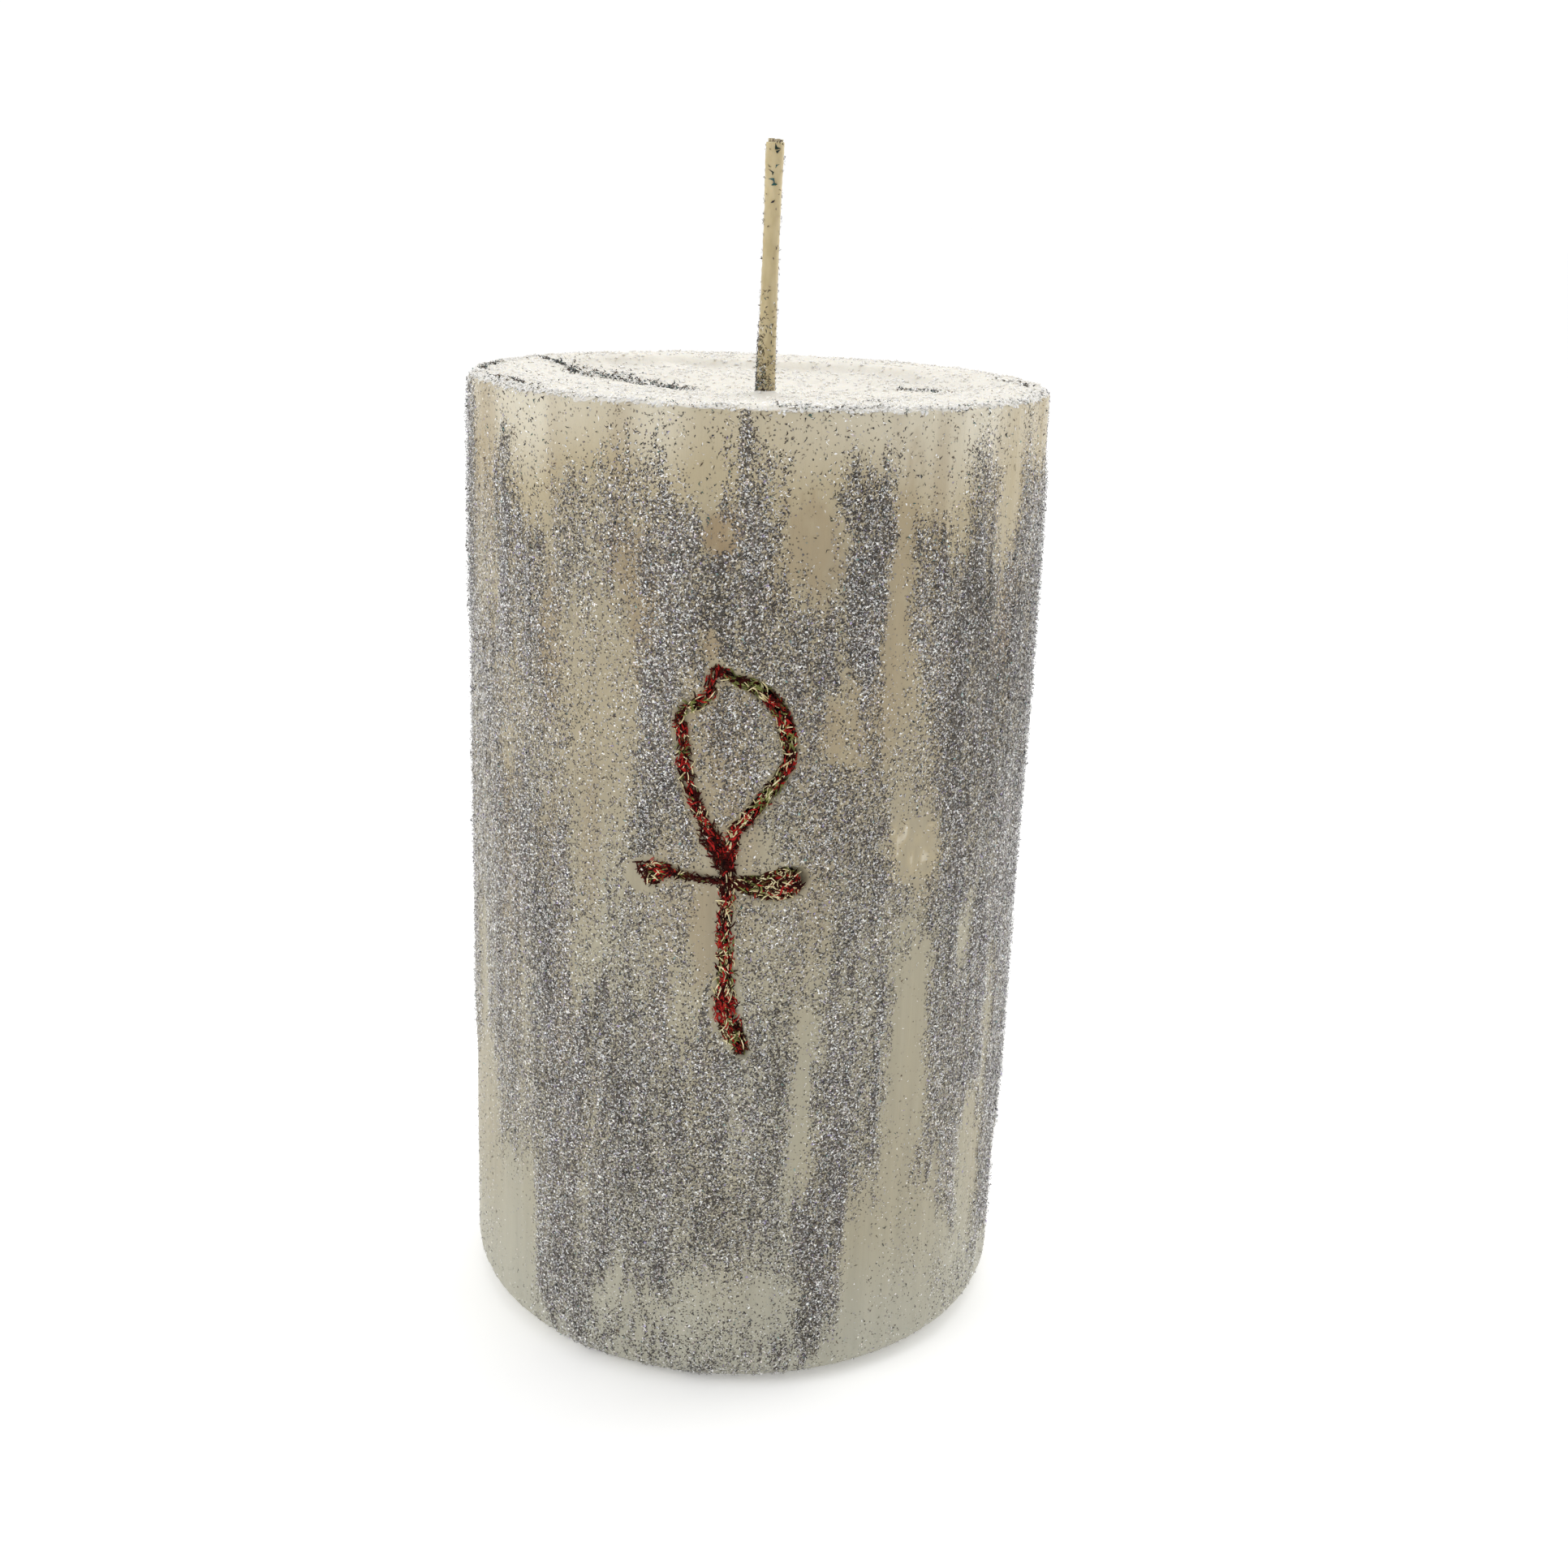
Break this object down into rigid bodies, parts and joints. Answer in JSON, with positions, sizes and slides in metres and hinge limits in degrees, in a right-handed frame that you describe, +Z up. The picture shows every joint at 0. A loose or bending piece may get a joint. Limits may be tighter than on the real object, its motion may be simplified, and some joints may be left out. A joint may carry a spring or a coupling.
{
  "type": "unity candle",
  "caption": "Cream pillar candle with a tall waxed wick, a tan brushed wall strewn with silver glitter, and a looped cross inlaid in red, dark, gold and green fibres",
  "frame": {"origin": "centre of the foot, on the surface that the candle stands on", "axes": "+Z up along the candle's axis, -Y toward the carved front, +X to the right of the front as a viewer faces it"},
  "size_m": [0.0776, 0.078, 0.16],
  "materials": {
    "cream_wax": "matt cast paraffin wax",
    "seal_wax": "matt poured wax",
    "wick_wax": "satin waxed braid",
    "cotton": "braided cotton",
    "core_paper": "twisted paper",
    "tinplate": "stamped tinplate",
    "brushed_glue": "satin glue, brushed upright",
    "clear_glue": "clear hardened glue",
    "silver_glitter": "fine silver foil flakes",
    "red_fibre": "dyed chopped fibre",
    "brown_fibre": "dyed chopped fibre",
    "maroon_fibre": "dyed chopped fibre",
    "gold_fibre": "glossy chopped straw",
    "green_fibre": "dyed chopped fibre"
  },
  "bodies": {
    "root": {"wax_pillar": "cream_wax", "wick_core": "core_paper", "wick_braid": "cotton", "wick_coat": "wick_wax", "wick_glitter": "silver_glitter", "wick_tab": "tinplate", "tab_seal": "seal_wax", "glue_coat": "brushed_glue", "glitter_front": "silver_glitter", "glitter_left": "silver_glitter", "glitter_right": "silver_glitter", "glitter_back": "silver_glitter", "glitter_rim": "silver_glitter", "inlay_glue": "clear_glue", "loop_left_bundle": "red_fibre", "loop_right_bundle": "brown_fibre", "neck_bundle": "red_fibre", "left_arm_bundle": "brown_fibre", "right_arm_bundle": "maroon_fibre", "stem_bundle": "red_fibre", "red_slivers": "red_fibre", "dark_slivers": "maroon_fibre", "gold_slivers": "gold_fibre", "green_slivers": "green_fibre"}
  },
  "joints": []
}
